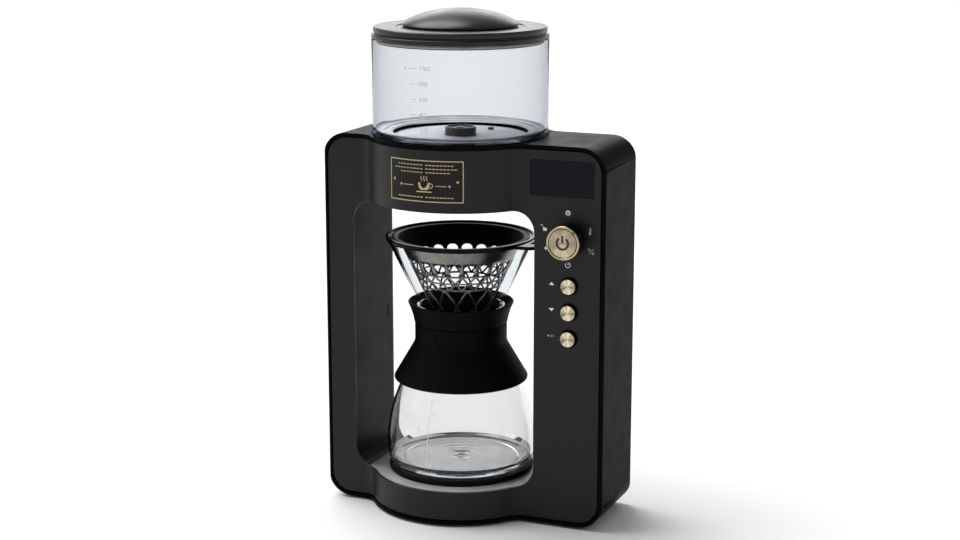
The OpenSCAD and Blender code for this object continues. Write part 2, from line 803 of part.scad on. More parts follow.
module dripper_rim() {
    z = rim_z - fit_gap;
    color(gloss_black) translate([tank_x, 0, 0]) difference() {
        union() {
            rotate_extrude() polygon([[rim_r - 8, z], [rim_r - 0.5, z], [rim_r, z + 0.6],
                [rim_r, z + rim_h - 0.6], [rim_r - 0.8, z + rim_h], [rim_r - 2.6, z + rim_h],
                [rim_r - 3.2, z + rim_h - 1.6], [rim_r - 5, z + rim_h - 1.6], [rim_r - 5, z + 1.5],
                [rim_r - 8, z + 1.5]]);
            difference() {
                translate([0, 0, z]) linear_extrude(rim_h - 1) round_rect(20, -tab_half_w, tab_x, tab_half_w, 9);
                translate([0, 0, z - 1]) cylinder(r = rim_r - 1, h = rim_h + 2);
            }
        }
        translate([0, 0, z - 1]) linear_extrude(rim_h + 2) round_rect(66.5, -12, 72.5, 12, 2.9);
    }
}

module filter_frame() {
    z1 = filter_z;
    z0 = filter_low_z;
    arch_z = z1 - band_h - 4.2;
    ring_z = arch_z - 7;
    color(steel) translate([tank_x, 0, 0]) difference() {
        rotate_extrude() polygon([[filter_r(z0), z0], [filter_r(z1), z1], [rim_r - 5.6, z1],
            [rim_r - 5.6, z1 + filter_t], [filter_r(z1) - filter_t, z1 + filter_t], [filter_r(z0) - filter_t, z0]]);
        for (i = [0:filter_holes - 1])
            rotate([0, 0, (i + 0.5) * 360 / filter_holes]) {
                radial_slot(34, [[-2.4, ring_z], [2.4, ring_z], [4.2, arch_z], [4.2, arch_z + 4], [-4.2, arch_z + 4],
                    [-4.2, arch_z]]);
                radial_slot(20, [[-1.6, z0 + 8], [1.6, z0 + 8], [2.6, ring_z - 3], [-2.6, ring_z - 3]]);
            }
    }
}

// Prism with the given front outline, from radius r outwards
module radial_slot(r, outline) {
    translate([0, -r, 0]) rotate([90, 0, 0]) linear_extrude(30) polygon(outline);
}

module filter_mesh() {
    r1 = filter_r(mesh_top_z) - filter_t - 0.3;
    r0 = filter_r(mesh_low_z) - filter_t - 0.3;
    color([0.2, 0.2, 0.2]) translate([tank_x, 0, 0]) rotate_extrude()
        polygon([[0, mesh_low_z], [r0, mesh_low_z], [r1, mesh_top_z], [r1 - 0.6, mesh_top_z],
            [r0 - 0.6, mesh_low_z + 0.6], [0, mesh_low_z + 0.6]]);
}

main_case();
front_cover();
back_cover();
base_cover();
feet();
base_screws();
window_liner();
tray_plate();
carafe_rest();
tank_socket();
socket_seal();
display_window();
display_module();
control_board();
standoffs();
rotary_encoder();
button_bezels();
tact_switches();
nameplate();
nameplate_frame();
nameplate_rivets();
shower_head();
shower_plate();
tank_hose();
pump_hose();
hot_water_hose();
pump_housing();
pump_motor();
pump_rotor();
flow_heater();
heater_brackets();
thermostat();
power_board();
wire_harness();
mains_inlet();
inlet_pins();
carafe_sensor();
tank_wall();
tank_floor_disc();
tank_sensor();
valve_housing();
valve_strainer();
valve_poppet();
lid_plate();
lid_dome();
lid_seal();
carafe_glass();
carafe_collar();
dripper_cone();
dripper_rim();
filter_frame();
filter_mesh();
dial_skirt();
dial_shaft();
dial_ring();
power_button();
power_stem();
button_up();
button_down();
button_start();
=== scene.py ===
import json
import math

import bmesh
import bpy
from mathutils import Matrix, Vector


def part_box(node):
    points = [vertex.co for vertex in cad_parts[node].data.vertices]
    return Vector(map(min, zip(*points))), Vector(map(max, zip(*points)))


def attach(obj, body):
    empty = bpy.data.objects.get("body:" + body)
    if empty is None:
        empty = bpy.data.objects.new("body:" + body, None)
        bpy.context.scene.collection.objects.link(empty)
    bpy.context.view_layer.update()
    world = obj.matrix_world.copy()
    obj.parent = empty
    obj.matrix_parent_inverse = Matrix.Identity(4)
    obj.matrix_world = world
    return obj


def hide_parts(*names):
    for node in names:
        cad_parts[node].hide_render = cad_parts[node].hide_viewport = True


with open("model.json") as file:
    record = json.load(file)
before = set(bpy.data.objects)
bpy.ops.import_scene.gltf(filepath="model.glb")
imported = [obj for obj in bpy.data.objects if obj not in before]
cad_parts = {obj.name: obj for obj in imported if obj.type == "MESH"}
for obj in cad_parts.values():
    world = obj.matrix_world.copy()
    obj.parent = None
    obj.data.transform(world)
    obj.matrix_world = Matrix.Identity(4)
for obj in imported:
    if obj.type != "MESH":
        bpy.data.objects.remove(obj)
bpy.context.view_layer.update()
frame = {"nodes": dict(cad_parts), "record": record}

# Sizes below are in millimetres and turned into metres where a mesh is made.
MM = 0.001
ROUND = 160          # segments of a large turned piece
SMALL_ROUND = 72     # segments of a knob or a button


def box_mm(node):
    low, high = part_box(node)
    return low / MM, high / MM


def middle(node, axis):
    low, high = box_mm(node)
    return (low[axis] + high[axis]) / 2


def radius_of(node):
    low, high = box_mm(node)
    return (high[0] - low[0]) / 2


# ---- places taken from the frame

AXIS_X = middle("tank_wall", 0)                    # the tank, dripper and carafe share one axis
TANK_R = radius_of("tank_wall")
TANK_LOW, TANK_TOP = (box_mm("tank_wall")[i][2] for i in (0, 1))
DECK_Z = box_mm("main_case")[1][2]
LID_Z = TANK_TOP + 0.2
LID_TOP = box_mm("lid_plate")[1][2]
DOME_LOW, DOME_HIGH = (box_mm("lid_dome")[i][2] for i in (0, 1))
DOME_R = radius_of("lid_dome")
SUMP_R = 56                                        # round recess in the tank's floor
VALVE_R = radius_of("valve_housing")
CARAFE_LOW = box_mm("carafe_glass")[0][2]
COLLAR_LOW = box_mm("carafe_collar")[0][2]
CONE_LOW, CONE_TOP = (box_mm("dripper_cone")[i][2] for i in (0, 1))
CONE_R = radius_of("dripper_cone")
CONE_SLOPE = 0.477                                 # radius lost for each millimetre down
FRAME_LOW, FRAME_TOP = (box_mm("filter_frame")[i][2] for i in (0, 1))
FLANGE_Z = FRAME_TOP - 0.8                         # underside of the filter's flange
FILTER_R = 54                                      # of the filter's cone at the flange
FILTER_SLOPE = 0.48
MESH_LOW, MESH_TOP = (box_mm("filter_mesh")[i][2] for i in (0, 1))
COVER_Y = -38.2                                    # flat outside of the front cover
COVER_R = 76.2                                     # outside of its bulge
DIAL_X = middle("dial_ring", 0)
DIAL_Z = middle("dial_ring", 2)
DIAL_R = radius_of("dial_ring")
BUTTONS = ("button_up", "button_down", "button_start")


# ---- materials

def links_of(mat):
    return mat.node_tree.nodes, mat.node_tree.links


def base_material(name, colour, roughness, metallic=0.0, **sockets):
    mat = bpy.data.materials.new(name)
    mat.use_nodes = True
    shader = mat.node_tree.nodes["Principled BSDF"]
    shader.inputs["Base Color"].default_value = (*colour, 1)
    shader.inputs["Roughness"].default_value = roughness
    shader.inputs["Metallic"].default_value = metallic
    for socket, value in sockets.items():
        shader.inputs[socket.replace("_", " ")].default_value = value
    return mat


def coordinates(mat, stretch=(1, 1, 1), centre=(0, 0, 0)):
    """Object coordinates in metres from centre, stretched along each axis."""
    nodes, links = links_of(mat)
    source = nodes.new("ShaderNodeTexCoord")
    shift = nodes.new("ShaderNodeVectorMath")
    shift.operation = "SUBTRACT"
    shift.inputs[1].default_value = [c * MM for c in centre]
    scale = nodes.new("ShaderNodeVectorMath")
    scale.operation = "MULTIPLY"
    scale.inputs[1].default_value = stretch
    links.new(source.outputs["Object"], shift.inputs[0])
    links.new(shift.outputs[0], scale.inputs[0])
    return scale.outputs[0]


def noise(mat, vector, scale, detail):
    nodes, links = links_of(mat)
    texture = nodes.new("ShaderNodeTexNoise")
    texture.inputs["Scale"].default_value = scale
    texture.inputs["Detail"].default_value = detail
    links.new(vector, texture.inputs["Vector"])
    return texture.outputs["Fac"]


def vary_roughness(mat, factor, low, high):
    nodes, links = links_of(mat)
    spread = nodes.new("ShaderNodeMapRange")
    spread.inputs["From Min"].default_value = 0.3
    spread.inputs["From Max"].default_value = 0.7
    spread.inputs["To Min"].default_value = low
    spread.inputs["To Max"].default_value = high
    links.new(factor, spread.inputs["Value"])
    links.new(spread.outputs["Result"], nodes["Principled BSDF"].inputs["Roughness"])


def vary_colour(mat, factor, dark, light):
    nodes, links = links_of(mat)
    ramp = nodes.new("ShaderNodeValToRGB")
    ramp.color_ramp.elements[0].position = 0.3
    ramp.color_ramp.elements[0].color = (*dark, 1)
    ramp.color_ramp.elements[1].position = 0.7
    ramp.color_ramp.elements[1].color = (*light, 1)
    links.new(factor, ramp.inputs["Fac"])
    links.new(ramp.outputs["Color"], nodes["Principled BSDF"].inputs["Base Color"])


def add_bump(mat, height, strength, distance_mm):
    nodes, links = links_of(mat)
    bump = nodes.new("ShaderNodeBump")
    bump.inputs["Strength"].default_value = strength
    bump.inputs["Distance"].default_value = distance_mm * MM
    links.new(height, bump.inputs["Height"])
    links.new(bump.outputs["Normal"], nodes["Principled BSDF"].inputs["Normal"])


def scaled(colour, factor):
    return [c * factor for c in colour]


def coated(name, colour, roughness, grain_mm=0.35, bump=0.25, spread=0.05, **sockets):
    """Painted, moulded or rubber surface: cloudy sheen over a fine grain."""
    mat = base_material(name, colour, roughness, **sockets)
    place = coordinates(mat)
    cloud = noise(mat, place, 55, 4)
    grain = noise(mat, place, 1 / (grain_mm * MM), 2)
    vary_roughness(mat, cloud, roughness - spread, roughness + spread)
    vary_colour(mat, cloud, scaled(colour, 0.85), scaled(colour, 1.15))
    add_bump(mat, grain, bump, 0.03)
    return mat


def brushed(name, colour, roughness, stretch):
    """Metal with straight brush lines: the noise is long along the axis whose stretch is small."""
    mat = base_material(name, colour, roughness, metallic=1.0)
    line_mm = 0.25
    lines = noise(mat, coordinates(mat, stretch), 1 / (line_mm * MM), 2)
    cloud = noise(mat, coordinates(mat), 60, 3)
    vary_roughness(mat, lines, roughness - 0.08, roughness + 0.1)
    vary_colour(mat, cloud, scaled(colour, 0.88), scaled(colour, 1.08))
    add_bump(mat, lines, 0.25, 0.02)
    return mat


def calculate(mat, operation, *values):
    """Output of a Math node whose inputs are numbers or other outputs."""
    nodes, links = links_of(mat)
    step = nodes.new("ShaderNodeMath")
    step.operation = operation
    for socket, value in zip(step.inputs, values):
        if isinstance(value, (int, float)):
            socket.default_value = value
        else:
            links.new(value, socket)
    return step.outputs[0]


def line_noise(mat, value, scale):
    """Noise along one number."""
    nodes, links = links_of(mat)
    texture = nodes.new("ShaderNodeTexNoise")
    texture.noise_dimensions = "1D"
    texture.inputs["Scale"].default_value = scale
    texture.inputs["Detail"].default_value = 2
    links.new(value, texture.inputs["W"])
    return texture.outputs["Fac"]


def split_axes(mat, vector):
    nodes, links = links_of(mat)
    split = nodes.new("ShaderNodeSeparateXYZ")
    links.new(vector, split.inputs[0])
    return split.outputs


def spun(name, colour, roughness, centre, ring_mm=0.3, painted_sheen_strength=0.0):
    """Metal turned about the Y axis through centre: fine rings, and a painted conical highlight of two lobes
    in its colour.
    """
    mat = base_material(name, colour, roughness, metallic=1.0, Anisotropic=0.75)
    nodes, links = links_of(mat)
    flat = coordinates(mat, (1, 0, 1), centre)
    radius = nodes.new("ShaderNodeVectorMath")
    radius.operation = "LENGTH"
    links.new(flat, radius.inputs[0])
    rings = line_noise(mat, radius.outputs["Value"], 1 / (ring_mm * MM))
    vary_roughness(mat, rings, roughness - 0.06, roughness + 0.08)
    add_bump(mat, rings, 0.25, 0.015)
    axes = split_axes(mat, flat)
    turn = calculate(mat, "ARCTAN2", axes["X"], axes["Z"])
    # Painted highlight: the colour is made lighter and darker in two lobes round the centre, with streaks,
    # for the conical reflection of turned metal; wedge sets how strong.
    painted_streaks = line_noise(mat, turn, 1.4)
    lobes = calculate(mat, "SINE", calculate(mat, "MULTIPLY_ADD", turn, 2, 2.2))
    sheen = calculate(mat, "MULTIPLY_ADD", lobes, 0.16, painted_streaks)
    vary_colour(mat, sheen, scaled(colour, 1 - painted_sheen_strength), scaled(colour, 1 + painted_sheen_strength * 0.8))
    around = nodes.new("ShaderNodeTangent")
    around.direction_type = "RADIAL"
    around.axis = "Y"
    links.new(around.outputs[0], nodes["Principled BSDF"].inputs["Tangent"])
    return mat


def glass(name, tint, roughness, ior, density, bump=0.0):
    """Clear glass or plastic, darker where it is thick. Lamps reach what is inside it."""
    mat = base_material(name, tint, roughness, Transmission_Weight=1.0, IOR=ior)
    nodes, links = links_of(mat)
    place = coordinates(mat, (1, 1, 0.35))
    waves = noise(mat, place, 28, 1)
    add_bump(mat, waves, bump, 0.4)
    vary_roughness(mat, noise(mat, coordinates(mat), 90, 3), roughness, roughness + 0.015)
    clear = nodes.new("ShaderNodeBsdfTransparent")
    clear.inputs["Color"].default_value = (0.97, 0.97, 0.97, 1)
    path = nodes.new("ShaderNodeLightPath")
    mix = nodes.new("ShaderNodeMixShader")
    links.new(path.outputs["Is Shadow Ray"], mix.inputs["Fac"])
    links.new(nodes["Principled BSDF"].outputs[0], mix.inputs[1])
    links.new(clear.outputs[0], mix.inputs[2])
    links.new(mix.outputs[0], nodes["Material Output"].inputs["Surface"])
    body = nodes.new("ShaderNodeVolumeAbsorption")
    body.inputs["Color"].default_value = (0.58, 0.62, 0.66, 1)
    body.inputs["Density"].default_value = density
    links.new(body.outputs[0], nodes["Material Output"].inputs["Volume"])
    return mat


def woven(name, colour, roughness, thread_mm):
    """Fine wire cloth: two crossing waves round and down the cone."""
    mat = base_material(name, colour, roughness, metallic=1.0)
    place = coordinates(mat, (1, 1, 1), (AXIS_X, 0, 0))
    axes = split_axes(mat, place)
    turn = calculate(mat, "ARCTAN2", axes["Y"], axes["X"])
    wires_round = 150
    waves = [calculate(mat, "SINE", calculate(mat, "MULTIPLY", value, frequency))
             for value, frequency in ((turn, wires_round), (axes["Z"], 2 * math.pi / (thread_mm * MM)))]
    vary_roughness(mat, noise(mat, place, 200, 3), roughness - 0.08, roughness + 0.1)
    add_bump(mat, calculate(mat, "MULTIPLY", *waves), 0.6, 0.2)
    return mat


GOLD = (0.43, 0.35, 0.225)
dial_centre = (DIAL_X, 0, DIAL_Z)
MATERIALS = {
    "case_black": coated("case_black", (0.006, 0.006, 0.0063), 0.42, Specular_IOR_Level=0.27),
    "liner_black": coated("liner_black", (0.011, 0.011, 0.0115), 0.42, Specular_IOR_Level=0.06),
    "inner_black": coated("inner_black", (0.012, 0.012, 0.012), 0.6, grain_mm=0.6),
    "gloss_black": coated("gloss_black", (0.0025, 0.0025, 0.0028), 0.16, bump=0.05, spread=0.03,
                          Specular_IOR_Level=0.07),
    "lid_black": coated("lid_black", (0.005, 0.005, 0.0055), 0.33, grain_mm=0.3, bump=0.12,
                        Specular_IOR_Level=0.36),
    "rubber_black": coated("rubber_black", (0.004, 0.004, 0.004), 0.62, grain_mm=0.5,
                           Specular_IOR_Level=0.08),
    "silicone_black": coated("silicone_black", (0.002, 0.002, 0.0024), 0.6, grain_mm=0.4, bump=0.35,
                             Specular_IOR_Level=0.06),
    "silicone_grey": coated("silicone_grey", (0.62, 0.62, 0.6), 0.5, grain_mm=0.5),
    "tray_grey": coated("tray_grey", (0.4, 0.4, 0.41), 0.34),
    "display": coated("display", (0.0035, 0.0033, 0.009), 0.12, bump=0.02, spread=0.03,
                      Specular_IOR_Level=0.1),
    "board": coated("board", (0.012, 0.1, 0.03), 0.4, grain_mm=0.8),
    "steel": brushed("steel", (0.55, 0.55, 0.54), 0.3, (1, 1, 0.04)),
    "filter_steel": brushed("filter_steel", (0.3, 0.275, 0.25), 0.24, (1, 1, 0.04)),
    "mesh_steel": woven("mesh_steel", (0.02, 0.021, 0.023), 0.42, 0.7),
    "dark_steel": brushed("dark_steel", (0.1, 0.09, 0.085), 0.3, (1, 1, 0.06)),
    "aluminium": brushed("aluminium", (0.7, 0.71, 0.72), 0.42, (1, 1, 0.1)),
    # The gold pieces carry a painted conical highlight in their colour, made by spun.
    "gold": spun("gold", GOLD, 0.3, dial_centre, painted_sheen_strength=0.2),
    "clear_plastic": glass("clear_plastic", (0.84, 0.845, 0.85), 0.01, 1.04, 115, bump=0.02),
    "glass": glass("glass", (0.88, 0.885, 0.89), 0.0, 1.3, 15, bump=0.03),
    "frosted": coated("frosted", (0.86, 0.89, 0.92), 0.5, bump=0.1, Specular_IOR_Level=0.2),
}
PRINT_WHITE = coated("print_white", (0.82, 0.82, 0.8), 0.5, bump=0.05)
PRINT_GREY = coated("print_grey", (0.4, 0.42, 0.43), 0.5, bump=0.05)
PRINT_FAINT = coated("print_faint", (0.6, 0.62, 0.63), 0.5, bump=0.05)
PRINT_DARK = coated("print_dark", (0.01, 0.009, 0.008), 0.5, bump=0.05)
# Painted shade: near-black for the inner side of the filter's steel lattice, which is in shade.
FILTER_INSIDE_PAINTED_SHADE = coated("filter_inside_painted_shade", (0.002, 0.002, 0.0022), 0.5, bump=0.1, Specular_IOR_Level=0.08)
# Painted shade: near-black, almost without gloss, for the filter's steel flange, which sits in shade in the
# gap under the rim.
FLANGE_PAINTED_SHADE = coated("flange_painted_shade", (0.003, 0.003, 0.003), 0.4, bump=0.1, Specular_IOR_Level=0.03)
THIN_GLASS = glass("thin_glass", (0.88, 0.9, 0.91), 0.0, 1.05, 25, bump=0.03)
# Painted light: pale skin standing for the bright floor of the tank, lit through its clear walls.
LEDGE_PAINTED_LIGHT = coated("ledge", (0.8, 0.83, 0.86), 0.4, bump=0.1, Specular_IOR_Level=0.3)
# Pieces whose finish is a variant of their slot's
OWN_FINISH = {
    "main_case": coated("case_shell", (0.003, 0.003, 0.0032), 0.38, Specular_IOR_Level=0.015),
    "nameplate": coated("plate_brown", (0.006, 0.004, 0.003), 0.25, Specular_IOR_Level=0.2),
    "carafe_sensor": coated("sensor_black", (0.001, 0.001, 0.001), 0.3, Specular_IOR_Level=0.02),
}

SLOT_OF = {s["node"]: s["material_slot"] for s in frame["record"]["subparts"]}


# ---- CAD pieces that stay

def soften_edges(obj, width_mm):
    """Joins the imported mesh's split corners, clears its flat faces and rounds its edges."""
    weld = obj.modifiers.new("weld", "WELD")
    weld.merge_threshold = 0.002 * MM
    flat = obj.modifiers.new("flat", "DECIMATE")
    flat.decimate_type = "DISSOLVE"
    flat.angle_limit = math.radians(0.6)
    bevel = obj.modifiers.new("edges", "BEVEL")
    bevel.width = width_mm * MM
    bevel.segments = 2
    bevel.limit_method = "ANGLE"
    bevel.angle_limit = math.radians(28)
    bevel.use_clamp_overlap = True
    bevel.harden_normals = False
    normals = obj.modifiers.new("normals", "WEIGHTED_NORMAL")
    normals.keep_sharp = True
    normals.weight = 60


# Width of the rounded edges, where it is not the usual one
EDGE_MM = {"main_case": 0.7, "front_cover": 0.35, "back_cover": 0.35, "window_liner": 0.3,
           "tray_plate": 0.35, "base_cover": 0.3, "carafe_rest": 0.4, "dripper_rim": 0.5,
           "display_window": 0.15, "mains_inlet": 0.3, "nameplate_frame": 0.1}
USUAL_EDGE_MM = 0.12

for node, obj in frame["nodes"].items():
    finish = OWN_FINISH.get(node, MATERIALS[SLOT_OF[node]])
    for slot in obj.material_slots:
        slot.material = finish
    if not obj.material_slots:
        obj.data.materials.append(finish)
    if "custom_normal" in obj.data.attributes:
        obj.data.attributes.remove(obj.data.attributes["custom_normal"])
    for face in obj.data.polygons:
        face.use_smooth = True
    soften_edges(obj, EDGE_MM.get(node, USUAL_EDGE_MM))


# ---- making meshes

SHARP_ANGLE = 32     # degrees; flatter edges are shaded smooth


def finish_piece(name, bm, materials, body, replaces=(), turn_faces=True):
    """Turns a bmesh in millimetres into a piece in metres that rides on its body."""
    if turn_faces:
        bmesh.ops.recalc_face_normals(bm, faces=bm.faces)
    bmesh.ops.scale(bm, vec=(MM, MM, MM), verts=bm.verts)
    mesh = bpy.data.meshes.new(name)
    bm.to_mesh(mesh)
    bm.free()
    for face in mesh.polygons:
        face.use_smooth = True
    mesh.set_sharp_from_angle(angle=math.radians(SHARP_ANGLE))
    obj = bpy.data.objects.new(name, mesh)
    bpy.context.scene.collection.objects.link(obj)
    for mat in materials:
        mesh.materials.append(mat)
    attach(obj, body)
    if replaces:
        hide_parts(*replaces)
    return obj


def rounded(points, radius):
    """The closed outline with its corners rounded; a point may carry its own radius as a third number."""
    steps = 3
    out = []
    for i, point in enumerate(points):
        here = Vector(point[:2])
        before = Vector(points[i - 1][:2]) - here
        after = Vector(points[(i + 1) % len(points)][:2]) - here
        wanted = point[2] if len(point) > 2 else radius
        if wanted == 0 or here.x < 1e-6 or before.length < 1e-6 or after.length < 1e-6:
            out.append(here)
            continue
        half = before.angle(after) / 2
        if half > math.radians(86):
            out.append(here)
            continue
        cut = min(wanted / math.tan(half), 0.45 * before.length, 0.45 * after.length)
        r = cut * math.tan(half)
        centre = here + (before.normalized() + after.normalized()).normalized() * (r / math.sin(half))
        start = here + before.normalized() * cut - centre
        end = here + after.normalized() * cut - centre
        turn = start.angle_signed(end)
        for k in range(steps + 1):
            out.append(centre + Matrix.Rotation(-turn * k / steps, 2) @ start)
    return out


def lathe_into(bm, outline, segments, place):
    """Adds a turned closed outline of (radius, height) points, about +Z of place."""
    rings = []
    for r, z in outline:
        count = 1 if r < 1e-4 else segments
        rings.append([bm.verts.new(place @ Vector((r * math.cos(2 * math.pi * j / segments),
                                                   r * math.sin(2 * math.pi * j / segments), z)))
                      for j in range(count)])
    for a, b in zip(rings, rings[1:] + rings[:1]):
        if len(a) == len(b) == 1:
            continue
        for j in range(segments):
            k = (j + 1) % segments
            corners = [a[j % len(a)], a[k % len(a)], b[k % len(b)], b[j % len(b)]]
            bm.faces.new(list(dict.fromkeys(corners)))


UPRIGHT = Matrix.Translation((AXIS_X, 0, 0))


def on_front(x, z):
    """Place whose +Z points to the user, at (x, z) on the front."""
    return Matrix.Translation((x, 0, z)) @ Matrix.Rotation(math.radians(90), 4, "X")


def turned(name, outline, body, slot, replaces, radius=0.4, segments=ROUND, place=UPRIGHT, material=None):
    bm = bmesh.new()
    lathe_into(bm, rounded(outline, radius), segments, place)
    return finish_piece(name, bm, [material or MATERIALS[slot]], body, replaces)


def smooth_line(points):
    """A smooth curve through all the points."""
    steps = 6
    out = []
    for i in range(len(points) - 1):
        a, b, c, d = (Vector(points[max(0, min(len(points) - 1, i + k))]) for k in (-1, 0, 1, 2))
        for j in range(steps):
            t = j / steps
            out.append(0.5 * (2 * b + (c - a) * t + (2 * a - 5 * b + 4 * c - d) * t * t
                              + (3 * b - a - 3 * c + d) * t * t * t))
    return out + [Vector(points[-1])]


# ---- water tank

def tank_wall():
    """Clear wall and floor of the tank, with a low rib round the sump."""
    deck = DECK_Z + 0.2
    inner = TANK_R - 2.4
    floor_t, rib_top = 2.2, 3.2
    outline = [(VALVE_R + 0.1, TANK_LOW), (SUMP_R + 1.5, TANK_LOW, 1.5), (SUMP_R + 3.4, deck, 0.6),
               (TANK_R, deck, 1.4), (TANK_R, TANK_TOP, 0.7), (inner, TANK_TOP, 0.7), (inner, deck + 4.6, 4),
               (inner - 1, deck + 2.9, 2), (inner - 3, deck + floor_t, 1), (65.5, deck + floor_t),
               (64.8, deck + rib_top), (62.8, deck + rib_top), (62.1, deck + floor_t),
               (SUMP_R + 1.6, deck + floor_t, 1), (SUMP_R + 0.3, deck + 1.2), (SUMP_R, TANK_LOW + floor_t),
               (VALVE_R + 0.1, TANK_LOW + floor_t)]
    turned("tank_shell", outline, "tank", "clear_plastic", ["tank_wall"], radius=0.35, segments=192)
    # pale matt skin on the ledge round the sump: painted light standing for the bright floor lit through the
    # tank; it reaches down the sump wall to cover the dark band there
    top = deck + 2.3
    line = [(SUMP_R + 0.3, top - 1.2), (SUMP_R + 1.7, top), (61.9, top), (62.7, top + 1), (64.9, top + 1),
            (65.7, top), (inner - 3.2, top), (inner - 1.4, top + 0.7), (inner - 0.5, top + 2.1)]
    turned("tank_ledge_painted_light", line + [(r, z + 0.25) for r, z in reversed(line)], "tank", "frosted", (), radius=0.1,
           segments=192, material=LEDGE_PAINTED_LIGHT)


def tank_marks():
    """Ticks and generic numbers on the front of the tank, one step of the scale apart."""
    step = 12.35
    top = DECK_Z + 60.6
    tick_angle = -7.7
    for i in range(5):
        z = top - i * step
        bm = bmesh.new()
        shape_bar(bm, (-3.4, 0), (3.4, 0), 0.5)
        if i == 0:
            shape_polygon(bm, [(-8.4, -1.2), (-8.4, 1.2), (-6.2, 0)])
        wrap(bm, AXIS_X, TANK_R, tick_angle, z, 0.05)
        finish_piece(f"tank_tick_{i + 1}", bm, [PRINT_FAINT], "tank")
        number = bpy.data.curves.new(f"number_{i}", "FONT")
        number.body = str(1000 - 200 * i)
        number.size = 5.0
        number.offset = 0.02
        number.align_y = "CENTER"
        holder = bpy.data.objects.new("number_holder", number)
        bpy.context.scene.collection.objects.link(holder)
        bpy.context.view_layer.update()
        flat = bpy.data.meshes.new_from_object(holder)
        bm = bmesh.new()
        bm.from_mesh(flat)
        bpy.data.objects.remove(holder)
        bpy.data.meshes.remove(flat)
        bpy.data.curves.remove(number)
        bmesh.ops.translate(bm, vec=(5.4, 0, 0), verts=bm.verts)
        wrap(bm, AXIS_X, TANK_R, tick_angle, z, 0.05)
        finish_piece(f"tank_number_{i + 1}", bm, [PRINT_FAINT], "tank")


# ---- flat shapes for printed signs, drawn in (u, v) with u to the right and v up

def shape_polygon(bm, points):
    bm.faces.new([bm.verts.new((u, v, 0)) for u, v in points])


def shape_bar(bm, a, b, width):
    a, b = Vector(a), Vector(b)
    side = Vector((a.y - b.y, b.x - a.x)).normalized() * width / 2
    steps = max(1, round((b - a).length / 1.5))
    low = [bm.verts.new((*(a.lerp(b, i / steps) - side), 0)) for i in range(steps + 1)]
    high = [bm.verts.new((*(a.lerp(b, i / steps) + side), 0)) for i in range(steps + 1)]
    for i in range(steps):
        bm.faces.new([low[i], low[i + 1], high[i + 1], high[i]])


def shape_line(bm, points, width):
    for a, b in zip(points, points[1:]):
        shape_bar(bm, a, b, width)


def arc_points(centre, radius, start, end, steps=24):
    return [(centre[0] + radius * math.cos(math.radians(start + (end - start) * i / steps)),
             centre[1] + radius * math.sin(math.radians(start + (end - start) * i / steps)))
            for i in range(steps + 1)]


def shape_arc(bm, centre, radius, width, start=0, end=360):
    outer = [bm.verts.new((u, v, 0)) for u, v in arc_points(centre, radius + width / 2, start, end)]
    inner = [bm.verts.new((u, v, 0)) for u, v in arc_points(centre, radius - width / 2, start, end)]
    for i in range(len(outer) - 1):
        bm.faces.new([inner[i], outer[i], outer[i + 1], inner[i + 1]])


def shape_disc(bm, centre, radius):
    shape_polygon(bm, arc_points(centre, radius, 0, 345, 23))


def thicken(bm, height):
    """Gives flat shapes a little height towards +Z."""
    bmesh.ops.remove_doubles(bm, verts=bm.verts, dist=0.001)
    for face in bm.faces:
        if face.normal.z < 0:
            face.normal_flip()
    grown = bmesh.ops.extrude_face_region(bm, geom=list(bm.faces))
    lifted = [v for v in grown["geom"] if isinstance(v, bmesh.types.BMVert)]
    bmesh.ops.translate(bm, vec=(0, 0, height), verts=lifted)


def stick_on_front(bm, x, z, y):
    """Places flat shapes at (x, z) on the plane y, facing the user."""
    bm.normal_update()
    thicken(bm, 0.06)
    bmesh.ops.transform(bm, matrix=Matrix.Translation((0, y, 0)) @ on_front(x, z), verts=bm.verts)


def wrap(bm, x, radius, angle, z, height):
    """Wraps flat shapes round an upright cylinder; angle is from the front towards +X, in degrees."""
    bm.normal_update()
    thicken(bm, height)
    for v in bm.verts:
        turn = math.radians(angle) + v.co.x / radius
        out = radius + 0.02 + v.co.z
        v.co = Vector((x + out * math.sin(turn), -out * math.cos(turn), z + v.co.y))


# ---- lid

def lid():
    """Stepped lid plate with its low dome."""
    z = LID_Z
    skirt = TANK_R - 4.1
    outline = [(0, LID_TOP - 3), (skirt - 1.6, LID_TOP - 3), (skirt - 1.6, z - 4), (skirt, z - 4), (skirt, z),
               (TANK_R - 0.5, z), (TANK_R, z + 0.5, 0.3), (TANK_R, z + 2.8, 0.6),
               (TANK_R - 0.6, z + 3.4, 0.5), (TANK_R - 2.4, z + 3.6, 0.2), (TANK_R - 2.4, z + 4.4, 0.2),
               (TANK_R - 1.5, z + 5, 0.6), (TANK_R - 1.5, LID_TOP - 0.9, 0.5), (TANK_R - 2.4, LID_TOP, 0.8),
               (DOME_R + 4.8, LID_TOP, 0.3), (DOME_R + 4.2, LID_TOP - 1, 0.2), (0, LID_TOP - 1)]
    turned("lid_ring", outline, "lid", "lid_black", ["lid_plate"], radius=0.3)
    edge = DOME_LOW + 2
    steps = 36
    crown = [(DOME_R * math.cos(a), edge + (DOME_HIGH - edge) * math.sin(a) ** 1.4)
             for a in (math.pi / 2 * k / steps for k in range(1, steps))]
    outline = [(0, DOME_LOW), (DOME_R - 1.2, DOME_LOW), (DOME_R - 1.2, DOME_LOW + 1.4, 0.2),
               (DOME_R, edge, 0.4), *crown, (0, DOME_HIGH)]
    turned("lid_knob", outline, "lid", "lid_black", ["lid_dome"], radius=0)


# ---- carafe

CARAFE_OUTLINE = smooth_line([(54, 0), (58.8, 1.5), (61.6, 5), (62.9, 11), (63.3, 19), (62.9, 29), (61.5, 39),
                              (58.5, 51), (53.8, 64), (48, 78), (42, 92), (38, 104), (36.6, 115), (36.5, 134),
                              (37.2, 137.3)])
BELLY_R = 63.3
NECK_R = 39.1


